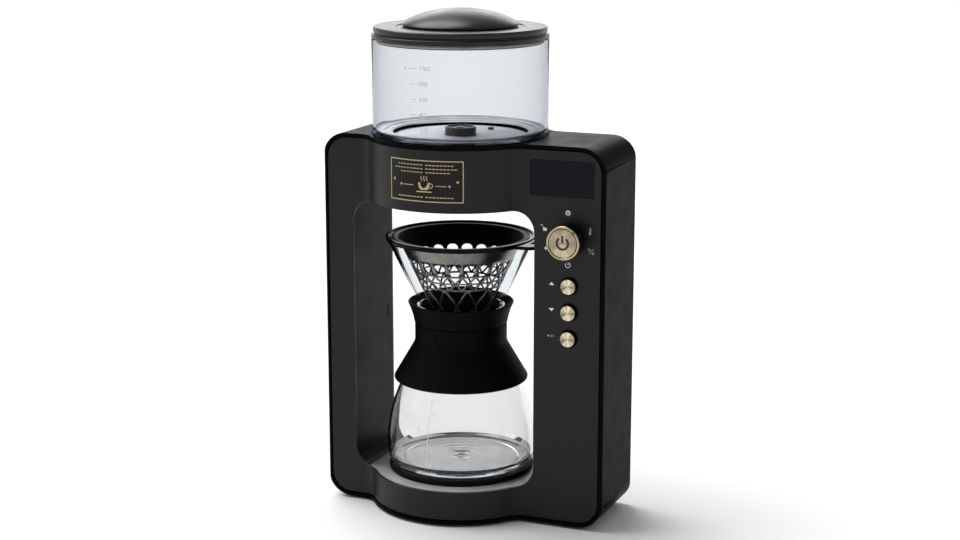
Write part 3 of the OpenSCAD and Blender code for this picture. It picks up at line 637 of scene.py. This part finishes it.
def carafe():
    """Glass body with ripples in its floor, and the collar with its blank panel."""
    floor, wall = 4, 2
    inside = [(p.x - wall, p.y, 0) for p in reversed(CARAFE_OUTLINE) if p.y > floor + 4]
    ripples = [(r / 2, floor + 0.42 * math.cos(r * 0.36) * math.exp(-r / 20), 0) for r in range(90, 0, -1)]
    outline = [(0, 0.8), (48, 0.8, 0.8), (50, 0, 0.8), *[(p.x, p.y, 0) for p in CARAFE_OUTLINE], *inside,
               (57.6, floor + 1.6, 2), (53, floor, 2), *ripples, (0, floor + 0.3)]
    outline = [(p[0], p[1] + CARAFE_LOW, *p[2:]) for p in outline]
    turned("carafe_body", outline, "carafe", "glass", ["carafe_glass"], radius=0.3, segments=192)
    z = COLLAR_LOW
    inner_line = [(p.x + 0.15, CARAFE_LOW + p.y, 0) for p in reversed(CARAFE_OUTLINE) if 75 < p.y < 131]
    outline = [(52, z), (55.6, z, 0.5), (56.8, z + 0.8, 0.5), (56.9, z + 2.2, 0.8), (39.9, z + 31.2, 3),
               (NECK_R, z + 34, 3), (NECK_R, z + 48.4, 0.4), (38.4, z + 48.9, 0.2), (38.4, z + 49.5, 0.2),
               (39.6, z + 50.1, 0.5), (40.6, z + 55, 4), (42.6, z + 61.5, 4), (44.6, z + 66, 1),
               (44.9, z + 66.8, 0.5), (44.3, z + 67.4, 0.5), (43.4, z + 67.2, 0.5), (41.2, z + 62.6, 1),
               (38.8, z + 59.6, 1), (36.9, z + 58.4, 0.3), *inner_line, (49.9, z + 1.6, 0.3)]
    turned("carafe_sleeve", outline, "carafe", "silicone_black", ["carafe_collar"], radius=0.4)
    bm = bmesh.new()
    half_w, half_h, corner, line = 19, 4.6, 1.5, 0.5
    for side in (-1, 1):
        shape_bar(bm, (-half_w + corner, side * half_h), (half_w - corner, side * half_h), line)
        shape_bar(bm, (side * half_w, -half_h + corner), (side * half_w, half_h - corner), line)
    for turn, u, v in ((0, 1, 1), (90, -1, 1), (180, -1, -1), (270, 1, -1)):
        shape_arc(bm, (u * (half_w - corner), v * (half_h - corner)), corner, line, turn, turn + 90)
    wrap(bm, AXIS_X, NECK_R, 18, z + 40.5, 0.25)
    finish_piece("sleeve_panel", bm, [MATERIALS["silicone_black"]], "carafe")


def carafe_marks():
    """Plain white scale on the front of the carafe: a long line with dots and a small framed dot."""
    bm = bmesh.new()
    shape_bar(bm, (0, 0), (0, 54), 0.45)
    for u, v in ((2.8, 0), (5.8, 0), (3.4, 12), (3.4, 43)):
        shape_disc(bm, (u, v), 0.8)
    shape_arc(bm, (-10, 29), 2.9, 0.4)
    shape_disc(bm, (-10, 29), 1.3)
    wrap(bm, AXIS_X, BELLY_R, -3.5, CARAFE_LOW + 12, 0.05)
    for v in bm.verts:
        flat = Vector((v.co.x - AXIS_X, v.co.y))
        height = v.co.z - CARAFE_LOW
        for a, b in zip(CARAFE_OUTLINE, CARAFE_OUTLINE[1:]):
            if a.y <= height <= b.y:
                wall = a.x + (b.x - a.x) * (height - a.y) / (b.y - a.y)
                flat *= (wall + flat.length - BELLY_R) / flat.length
                v.co.x, v.co.y = AXIS_X + flat.x, flat.y
                break
    finish_piece("carafe_scale", bm, [PRINT_WHITE], "carafe")


# ---- dripper and filter

HOLES = 22                                         # arched holes round the filter
CELL = 2 * math.pi / HOLES
RING_1, RING_2, RING_3 = FLANGE_Z - 26.5, FLANGE_Z - 33, FLANGE_Z - 39.5


def dripper():
    low = CONE_R - (CONE_TOP - CONE_LOW) * CONE_SLOPE
    wall = 2
    outline = [(low, CONE_LOW, 0.6), (CONE_R, CONE_TOP, 0.5), (CONE_R - wall, CONE_TOP, 0.5),
               (low - wall, CONE_LOW, 0.6)]
    turned("dripper_glass", outline, "dripper", "glass", ["dripper_cone"], segments=192, material=THIN_GLASS)


def filter_point(angle, z, lift=0.0):
    r = FILTER_R - (FLANGE_Z - z) * FILTER_SLOPE + lift
    return Vector((AXIS_X + r * math.sin(angle), -r * math.cos(angle), z))


def ribbon(bm, path, width, lift):
    """Flat strip on the cone along a path of (angle, height)."""
    centre = [filter_point(a, z, lift) for a, z in path]
    rows = []
    for i, p in enumerate(centre):
        along = (centre[min(i + 1, len(centre) - 1)] - centre[max(i - 1, 0)]).normalized()
        out = Vector((p.x - AXIS_X, p.y, -FILTER_SLOPE * math.hypot(p.x - AXIS_X, p.y))).normalized()
        side = along.cross(out).normalized() * width / 2
        rows.append((bm.verts.new(p - side), bm.verts.new(p + side)))
    for a, b in zip(rows, rows[1:]):
        bm.faces.new([a[0], b[0], b[1], a[1]])


def arched_band(bm):
    """The solid band, down to ring 1, with an arched hole in each cell."""
    band_low = FLANGE_Z - 15.6
    half = 0.37
    arch_h = 3.4
    spring = band_low - arch_h
    halfway = (RING_1 + spring) / 2
    for i in range(HOLES):
        base = i * CELL
        hole = [(-half * 0.62, RING_1), (-half * 0.9, halfway)]
        edge = [(-0.5, RING_1), (-0.5, halfway)]
        for k in range(13):
            turn = math.radians(180 - 15 * k)
            hole.append((half * math.cos(turn), spring + arch_h * math.sin(turn)))
            across = -0.5 if k < 3 else 0.5 if k > 9 else -0.5 + (k - 3) / 6
            up = spring + (band_low + 2 - spring) * min(1, k / 3, (12 - k) / 3)
            edge.append((across, up))
        hole += [(half * 0.9, halfway), (half * 0.62, RING_1)]
        edge += [(0.5, halfway), (0.5, RING_1)]
        inner = [bm.verts.new(filter_point(base + s * CELL, z)) for s, z in hole]
        outer = [bm.verts.new(filter_point(base + s * CELL, z)) for s, z in edge]
        for k in range(len(inner) - 1):
            bm.faces.new([inner[k], inner[k + 1], outer[k + 1], outer[k]])
        rows = [outer[5:12]]
        for z in (band_low + 6, FLANGE_Z - 0.6, FLANGE_Z):
            rows.append([bm.verts.new(filter_point(base + (-0.5 + k / 6) * CELL, z)) for k in range(7)])
        for a, b in zip(rows, rows[1:]):
            for k in range(6):
                bm.faces.new([a[k], a[k + 1], b[k + 1], b[k]])
    bmesh.ops.remove_doubles(bm, verts=bm.verts, dist=0.01)


def open_lattice(bm):
    """Rings and crossing ribbons under the band."""
    fine = [2 * math.pi * k / 132 for k in range(133)]
    for z, width in ((RING_1, 1.4), (RING_2, 1.1), (RING_3, 1.4), (FRAME_LOW + 0.8, 1.6)):
        ribbon(bm, [(a, z) for a in fine], width, 0.02)
    rows = [(RING_1, RING_2, 0.5, 0.5, 1), (RING_2, RING_3, 0, 0.5, 1), (RING_3, FRAME_LOW, 0, 1.5, 2)]
    for top, low, shift, reach, every in rows:
        for i in range(0, HOLES, every):
            for way in (-1, 1):
                path = [((i + shift + way * reach * k / 8) * CELL, top + (low - top) * k / 8)
                        for k in range(9)]
                ribbon(bm, path, 1.5, 0.05 * way)


def face_outwards(bm):
    bmesh.ops.recalc_face_normals(bm, faces=bm.faces)
    for face in bm.faces:
        centre = face.calc_center_median()
        if face.normal.dot(Vector((centre.x - AXIS_X, centre.y, 0))) < 0:
            face.normal_flip()


def filter_holder():
    bm = bmesh.new()
    arched_band(bm)
    open_lattice(bm)
    face_outwards(bm)
    lattice = finish_piece("filter_lattice", bm, [MATERIALS["filter_steel"], FILTER_INSIDE_PAINTED_SHADE], "filter",
                           ["filter_frame"], turn_faces=False)
    # The inner side grown here takes the second material, the near-black painted shade.
    solid = lattice.modifiers.new("thickness", "SOLIDIFY")
    solid.thickness = 0.7 * MM
    solid.offset = -1
    solid.material_offset = 1
    outer = radius_of("filter_frame")
    outline = [(FILTER_R - 0.5, FLANGE_Z), (outer, FLANGE_Z), (outer, FRAME_TOP), (FILTER_R - 0.7, FRAME_TOP)]
    # The steel flange takes the near-black painted shade.
    turned("filter_flange", outline, "filter", "filter_steel", (), radius=0.25, material=FLANGE_PAINTED_SHADE)
    r1 = radius_of("filter_mesh")
    r0 = r1 - (MESH_TOP - MESH_LOW) * FILTER_SLOPE
    cloth_t = 0.6
    outline = [(0, MESH_LOW), (r0, MESH_LOW, 0.8), (r1, MESH_TOP, 0.2), (r1 - cloth_t, MESH_TOP, 0.2),
               (r0 - cloth_t, MESH_LOW + cloth_t, 0.5), (0, MESH_LOW + cloth_t)]
    turned("filter_cloth", outline, "filter", "mesh_steel", ["filter_mesh"], radius=0.2)


# ---- dial and buttons

def dial():
    """Fluted grip, gold ring with its index, and the push cap with its sign."""
    back, front = -box_mm("dial_skirt")[1][1], -box_mm("dial_ring")[0][1]
    place = on_front(DIAL_X, DIAL_Z)
    skirt_r = DIAL_R - 0.8
    web = back + 11
    outline = [(3, back + 1), (5.4, back + 1), (5.4, web), (skirt_r - 1.2, web), (skirt_r - 1.2, back),
               (skirt_r, back), (skirt_r, web + 3), (3, web + 3)]
    bm = bmesh.new()
    lathe_into(bm, rounded(outline, 0.3), SMALL_ROUND * 2, place)
    inverse = place.inverted()
    for v in bm.verts:
        local = inverse @ v.co
        r = math.hypot(local.x, local.y)
        if r > skirt_r - 0.5 and back + 1 < local.z < web + 2.6:
            groove = 1 - 0.012 * (0.5 + 0.5 * math.cos(36 * math.atan2(local.y, local.x)))
            v.co = place @ Vector((local.x * groove, local.y * groove, local.z))
    finish_piece("dial_grip", bm, [MATERIALS["gloss_black"]], "dial", ["dial_skirt"])
    ring_back = front - 2.4
    outline = [(DIAL_R - 1.9, ring_back), (DIAL_R - 0.3, ring_back), (DIAL_R, ring_back + 0.3),
               (DIAL_R, ring_back + 1.8, 0.5), (DIAL_R - 0.6, front, 0.5), (DIAL_R - 1.4, front, 0.4),
               (DIAL_R - 1.9, front - 0.4, 0.2)]
    # The ring and the cap carry a painted conical highlight in their gold.
    turned("dial_gold_ring", outline, "dial", "gold", ["dial_ring"], 0.15, SMALL_ROUND, place,
           spun("gold_ring", scaled(GOLD, 1.15), 0.2, dial_centre, painted_sheen_strength=0.1))
    cap_r = DIAL_R - 2.3
    cap_back, cap_front = -box_mm("power_button")[1][1], -box_mm("power_button")[0][1]
    outline = [(0, cap_back), (cap_r, cap_back), (cap_r, cap_front, 0.4), (0, cap_front)]
    turned("power_cap", outline, "power_button", "gold", ["power_button"], 0.2, SMALL_ROUND, place,
           spun("gold_cap", (0.47, 0.4, 0.275), 0.32, dial_centre, ring_mm=0.22, painted_sheen_strength=0.3))
    bm = bmesh.new()
    shape_arc(bm, (0, 0), 4.8, 1.8, 126, 414)
    shape_bar(bm, (0, 0.2), (0, 6.2), 1.8)
    stick_on_front(bm, DIAL_X, DIAL_Z, -cap_front - 0.01)
    finish_piece("power_sign", bm, [PRINT_DARK], "power_button")
    bm = bmesh.new()
    near, far = (DIAL_R - 1.7) * math.sqrt(0.5), (DIAL_R - 0.3) * math.sqrt(0.5)
    shape_bar(bm, (near, near), (far, far), 1.5)
    stick_on_front(bm, DIAL_X, DIAL_Z, -front - 0.01)
    finish_piece("dial_index", bm, [PRINT_DARK], "dial")


def push_button(node):
    """Gold cap with a shallow dish, on its stem."""
    x, z = middle(node, 0), middle(node, 2)
    r = radius_of(node)
    front, back = -box_mm(node)[0][1], -box_mm(node)[1][1]
    cap = back + 3.2
    outline = [(0, back), (1.8, back), (1.8, cap), (r, cap), (r, front - 0.1, 0.6), (r - 0.5, front, 0.3),
               (1.4, front - 0.3, 1), (0, front - 0.3)]
    # The cap carries a strong painted conical highlight in its gold.
    turned(f"{node}_cap", outline, node, "gold", [node], 0.2, SMALL_ROUND, on_front(x, z),
           spun(f"gold_{node}", (0.56, 0.49, 0.36), 0.26, (x, 0, z), ring_mm=0.2, painted_sheen_strength=0.62))


# ---- signs on the front cover

def sign(name, x, z, ink, *draw):
    """Printed sign at (x, z) on the front cover, drawn by a list of (shape, arguments)."""
    bm = bmesh.new()
    for shape, *arguments in draw:
        shape(bm, *arguments)
    stick_on_front(bm, x, z, COVER_Y - 0.01)
    finish_piece(name, bm, [ink], "housing")


def signs():
    """Generic pictures round the dial and beside the buttons."""
    rays = [(shape_bar, (1.5 * math.cos(a), 1.5 * math.sin(a)), (2.4 * math.cos(a), 2.4 * math.sin(a)), 0.75)
            for a in [math.radians(45 * k) for k in range(8)]]
    sign("sign_gear", DIAL_X - 1.7, DIAL_Z + 21.5, PRINT_WHITE, (shape_arc, (0, 0), 1.3, 0.95), *rays)
    sign("sign_thermometer", DIAL_X + 17.1, DIAL_Z + 8, PRINT_GREY, (shape_disc, (0, -1.9), 1.0),
         (shape_bar, (0, -1), (0, 2.6), 0.8), (shape_bar, (0.8, 0.4), (1.5, 0.4), 0.3),
         (shape_bar, (0.8, 1.4), (1.5, 1.4), 0.3), (shape_bar, (0.8, 2.4), (1.5, 2.4), 0.3))
    sign("sign_ratio", DIAL_X + 18.2, DIAL_Z - 8.4, PRINT_GREY, (shape_bar, (-1.7, -2.2), (1.7, 2.2), 0.4),
         (shape_arc, (-1.6, 1.4), 0.8, 0.4), (shape_arc, (1.6, -1.4), 0.8, 0.4))
    sign("sign_clock", DIAL_X - 1.5, DIAL_Z - 21, PRINT_WHITE, (shape_arc, (0, 0), 2.1, 0.5, -220, 90),
         (shape_bar, (0, 0), (0, 1.3), 0.4), (shape_bar, (0, 0), (0.9, 0.5), 0.4))
    sign("sign_steam", DIAL_X - 20.4, DIAL_Z - 8.6, PRINT_WHITE, (shape_polygon, [(0, 2), (0.5, 0.5), (2, 0),
         (0.5, -0.5), (0, -2), (-0.5, -0.5), (-2, 0), (-0.5, 0.5)]), (shape_disc, (2.3, -2), 0.5))
    sign("sign_pour", DIAL_X - 22.6, DIAL_Z + 8.3, PRINT_WHITE,
         (shape_polygon, [(-0.4, 0.6), (3.2, -0.6), (2.6, -2.6), (-0.4, -2.6)]),
         (shape_bar, (-1.2, 0.9), (-0.5, 2.1), 0.45), (shape_bar, (-2.6, 2.5), (-1.4, 1.6), 0.45))
    mark_x = middle("button_up", 0) - 15.2
    heights = [middle(b, 2) for b in BUTTONS]
    arrow = [(-2.3, -1.3), (2.3, -1.3), (0, 1.3)]
    sign("sign_up", mark_x, heights[0] + 1, PRINT_WHITE, (shape_polygon, arrow))
    sign("sign_down", mark_x, heights[1] + 1, PRINT_WHITE, (shape_polygon, [(u, -v) for u, v in arrow]))
    sign("sign_start", mark_x - 0.6, heights[2] + 1, PRINT_GREY, (shape_polygon, [(-2.4, -1.1), (-0.3, 0),
         (-2.4, 1.1)]), (shape_bar, (0.9, -1), (0.9, 1), 0.5), (shape_bar, (2.3, -1), (2.3, 1), 0.5))


# ---- nameplate

def nameplate_motif():
    """A steaming cup between plain rules, printed in gold."""
    bm = bmesh.new()
    for v, half in ((13, 24), (10, 27), (7, 21), (-13, 24)):
        for k in range(half // 3):
            for side in (-1, 1):
                u = side * (1.2 + k * 3)
                shape_bar(bm, (u, v), (u + side * 2.3, v), 0.75)
    shape_polygon(bm, [(-5.2, -1), (-4.6, -5.2), (-3, -7), (3, -7), (4.6, -5.2), (5.2, -1)])
    shape_arc(bm, (5.6, -3.6), 1.8, 0.7, -110, 100)
    shape_bar(bm, (-6.6, -8.6), (6.6, -8.6), 0.9)
    for u in (-2.4, 0, 2.4):
        shape_line(bm, [(u + 0.55 * math.sin(k * 0.9), k * 0.5) for k in range(9)], 0.6)
    for side in (-1, 1):
        shape_bar(bm, (side * 9.4, -3.6), (side * 19, -3.6), 0.6)
        shape_polygon(bm, [(side * 20, -3.6), (side * 21.2, -2.4), (side * 22.4, -3.6), (side * 21.2, -4.8)])
    wrap(bm, AXIS_X, COVER_R + 0.4, 0.8, middle("nameplate", 2), 0.08)
    finish_piece("nameplate_motif", bm, [spun("gold_print", scaled(GOLD, 1.1), 0.4, dial_centre)], "housing")


# ---- floor, light and camera

def place_light(name, kind, place, target, energy):
    data = bpy.data.lights.new(name, kind)
    data.energy = energy
    light = bpy.data.objects.new(name, data)
    light.location = place
    light.rotation_euler = (Vector(target) - Vector(place)).to_track_quat("-Z", "Y").to_euler()
    bpy.context.scene.collection.objects.link(light)
    return data


def soft_box(name, place, target, size, power):
    data = place_light(name, "AREA", place, target, power)
    data.shape = "RECTANGLE"
    data.size, data.size_y = size


def studio():
    """Pale floor, even soft light and the camera."""
    bm = bmesh.new()
    bmesh.ops.create_grid(bm, x_segments=4, y_segments=4, size=30)
    mesh = bpy.data.meshes.new("floor")
    bm.to_mesh(mesh)
    bm.free()
    floor = bpy.data.objects.new("floor", mesh)
    bpy.context.scene.collection.objects.link(floor)
    paper = base_material("floor_paper", (0.86, 0.86, 0.86), 0.9, Specular_IOR_Level=0.0)
    vary_roughness(paper, noise(paper, coordinates(paper), 0.8, 2), 0.85, 0.95)
    mesh.materials.append(paper)
    world = bpy.data.worlds.new("studio")
    bpy.context.scene.world = world
    world.use_nodes = True
    sky = world.node_tree.nodes["Background"]
    sky.inputs["Color"].default_value = (1, 1, 1, 1)
    sky.inputs["Strength"].default_value = 0.38
    sun = place_light("sun", "SUN", (-1.1, 0.3, 2.1), (0, 0, 0), 2.95)
    sun.angle = math.radians(50)
    soft_box("high_box", (-0.8, 2.3, 1.5), (0, 0, 0.3), (1.8, 0.8), 5)
    soft_box("back_box", (-1.4, 3.3, 1.35), (0, 0, 0.4), (2.8, 1.2), 22)
    soft_box("left_box", (-2.1, -0.9, 1.2), (0, 0, 0.25), (0.8, 1.6), 3)
    bpy.context.scene.view_settings.view_transform = "Standard"
    camera = bpy.data.cameras.new("camera")
    camera.sensor_width = 36
    camera.lens = 71.0
    eye = bpy.data.objects.new("camera", camera)
    eye.location = (0.6036, -1.4349, 0.5491)
    look_down, turn_left = 12.53, 22.78
    eye.rotation_euler = (math.radians(90 - look_down), 0, math.radians(turn_left))
    bpy.context.scene.collection.objects.link(eye)
    bpy.context.scene.camera = eye


tank_wall()
tank_marks()
lid()
carafe()
carafe_marks()
dripper()
filter_holder()
dial()
for button in BUTTONS:
    push_button(button)
signs()
nameplate_motif()
studio()
